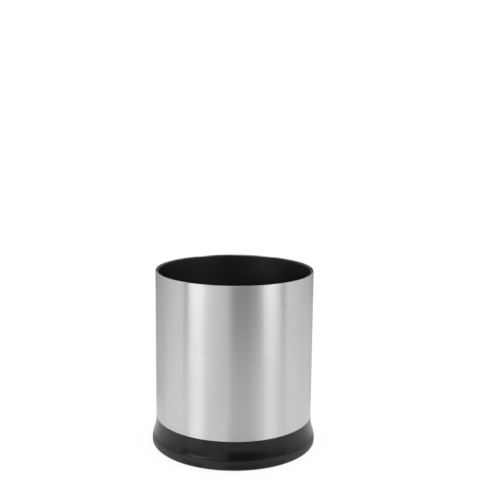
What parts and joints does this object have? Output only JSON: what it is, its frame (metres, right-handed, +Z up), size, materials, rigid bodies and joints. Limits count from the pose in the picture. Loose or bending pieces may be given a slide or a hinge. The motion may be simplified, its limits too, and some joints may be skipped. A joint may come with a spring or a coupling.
{
  "type": "rotating utensil holder",
  "caption": "Round brushed-steel utensil holder with a dark plastic cup and lift-out divider, turning on a ball bearing over a flared, weighted non-slip base.",
  "frame": {"origin": "centre of the round footprint, on the worktop", "axes": "+Z up along the drum's axis; -Y towards the front compartment; one vane of the divider points to +Y"},
  "size_m": [0.168, 0.168, 0.18],
  "materials": {
    "sleeve_steel": "brushed round the drum, satin",
    "satin_black": "satin moulded plastic",
    "matte_black": "fine matte moulded plastic",
    "foot_rubber": "matte",
    "ballast": "plain, unpainted",
    "bright_steel": "bright plated",
    "acetal": "smooth, natural"
  },
  "bodies": {
    "base": {"base_dish": "matte_black", "bottom_cover": "matte_black", "foot_ring": "foot_rubber", "ballast_plate": "ballast", "base_screw_1": "bright_steel", "base_screw_2": "bright_steel", "base_screw_3": "bright_steel", "base_screw_4": "bright_steel", "lower_race": "bright_steel", "pivot_bush": "acetal"},
    "bearing": {"ball_cage": "acetal", "ball_01": "bright_steel", "ball_02": "bright_steel", "ball_03": "bright_steel", "ball_04": "bright_steel", "ball_05": "bright_steel", "ball_06": "bright_steel", "ball_07": "bright_steel", "ball_08": "bright_steel", "ball_09": "bright_steel", "ball_10": "bright_steel", "ball_11": "bright_steel", "ball_12": "bright_steel"},
    "drum": {"turntable": "matte_black", "skirt_ring": "satin_black", "steel_sleeve": "sleeve_steel", "liner": "matte_black", "cup_floor": "matte_black", "pivot_screw": "bright_steel", "pivot_washer": "bright_steel", "drum_screw_1": "bright_steel", "drum_screw_2": "bright_steel", "drum_screw_3": "bright_steel", "upper_race": "bright_steel"},
    "insert": {"divider": "matte_black"}
  },
  "joints": [
    {"name": "drum_spin", "type": "hinge", "parent": "base", "child": "drum", "pos_m": [0, 0, 0.0144], "axis": [0, 0, 1], "continuous": true},
    {"name": "cage_spin", "type": "hinge", "parent": "base", "child": "bearing", "pos_m": [0, 0, 0.0113], "axis": [0, 0, 1], "continuous": true},
    {"name": "divider_lift", "type": "slide", "parent": "drum", "child": "insert", "axis": [0, 0, 1], "range_m": [0, 0.17]}
  ],
  "couplings": [
    {"joint": "cage_spin", "follows": "drum_spin", "ratio": 0.5}
  ]
}
